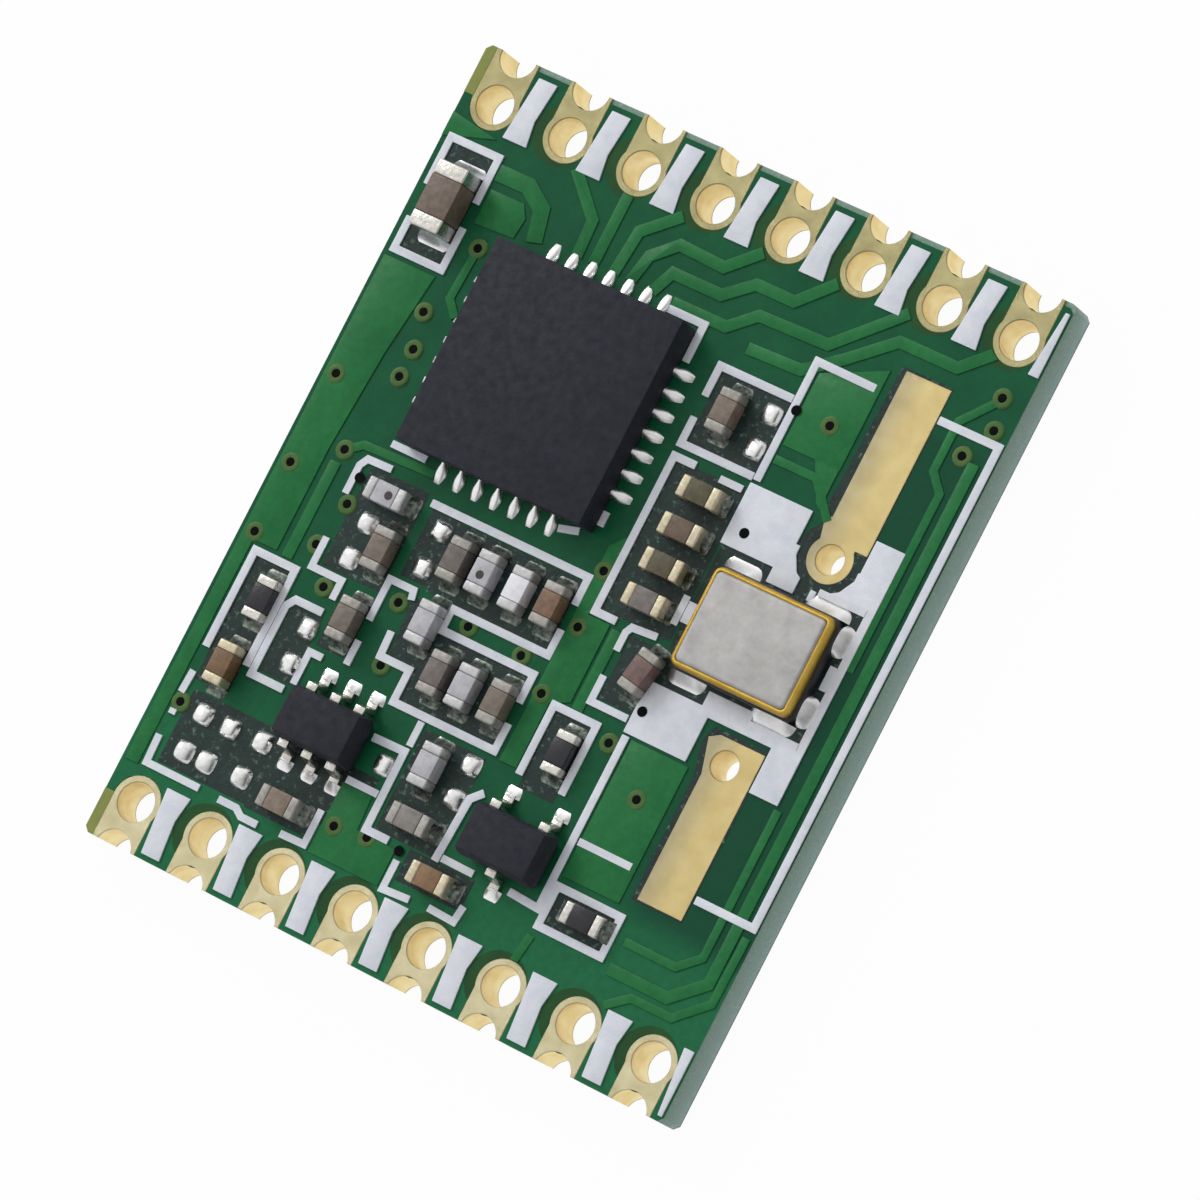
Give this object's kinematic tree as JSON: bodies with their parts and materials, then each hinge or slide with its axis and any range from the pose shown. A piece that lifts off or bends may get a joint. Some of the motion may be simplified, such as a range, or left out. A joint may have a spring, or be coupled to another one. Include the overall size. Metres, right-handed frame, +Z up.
{
  "type": "rf transceiver module",
  "caption": "Small green radio transceiver board with plated edge pads, a square chip, a crystal and tiny chip parts",
  "frame": {"origin": "centre of the board's underside", "axes": "+X along the pad rows, +Y along the board from the crystal's transistor end to the chip end, +Z up out of the fitted face"},
  "size_m": [0.0156, 0.0198, 0.0019],
  "materials": {
    "glass_laminate": "sawn glass and resin board",
    "green_mask": "green coat over bare laminate",
    "green_mask_over_copper": "green coat over copper, lighter",
    "white_ink": "printed white ink",
    "gold_plate": "thin gold plating on copper",
    "moulding_compound": "dark slate moulded resin",
    "dark_ceramic": "dark ceramic package",
    "lid_metal": "plain nickel-coated lid",
    "capacitor_ceramic": "brown to grey fired ceramic",
    "inductor_ceramic": "whitish fired ceramic",
    "resistor_film": "dark glass over film",
    "tinned_terminal": "tinned metal",
    "solder": "bright solder"
  },
  "bodies": {
    "root": {"capacitor_input": "capacitor_ceramic", "capacitor_supply": "capacitor_ceramic", "capacitor_bypass_1": "capacitor_ceramic", "capacitor_bypass_2": "capacitor_ceramic", "capacitor_bypass_3": "capacitor_ceramic", "capacitor_bypass_4": "capacitor_ceramic", "capacitor_filter_1": "capacitor_ceramic", "capacitor_filter_2": "capacitor_ceramic", "capacitor_filter_3": "capacitor_ceramic", "capacitor_filter_4": "capacitor_ceramic", "capacitor_filter_5": "capacitor_ceramic", "capacitor_filter_6": "capacitor_ceramic", "capacitor_match_1": "capacitor_ceramic", "capacitor_match_2": "capacitor_ceramic", "capacitor_match_3": "capacitor_ceramic", "capacitor_match_4": "capacitor_ceramic", "capacitor_crystal": "capacitor_ceramic", "inductor_choke": "inductor_ceramic", "inductor_filter_1": "inductor_ceramic", "inductor_filter_2": "inductor_ceramic", "inductor_filter_3": "inductor_ceramic", "inductor_filter_4": "inductor_ceramic", "inductor_match": "inductor_ceramic", "resistor_1": "resistor_film", "resistor_2": "resistor_film", "resistor_3": "resistor_film", "chip_terminals": "tinned_terminal", "transceiver_body": "moulding_compound", "transceiver_leads": "tinned_terminal", "transceiver_heat_pad": "tinned_terminal", "transceiver_solder": "solder", "crystal_base": "dark_ceramic", "crystal_seal_ring": "gold_plate", "crystal_lid": "lid_metal", "rf_switch_body": "moulding_compound", "rf_switch_leads": "tinned_terminal", "transistor_body": "moulding_compound", "transistor_leads": "tinned_terminal", "part_solder": "solder", "bare_land_solder": "solder", "crystal_land_upper": "gold_plate", "crystal_land_lower": "gold_plate", "laminate": "glass_laminate", "solder_mask_top": "green_mask", "solder_mask_bottom": "green_mask", "edge_pads_upper": "gold_plate", "edge_pads_lower": "gold_plate", "raised_tracks": "green_mask_over_copper", "silkscreen": "white_ink"}
  },
  "joints": []
}
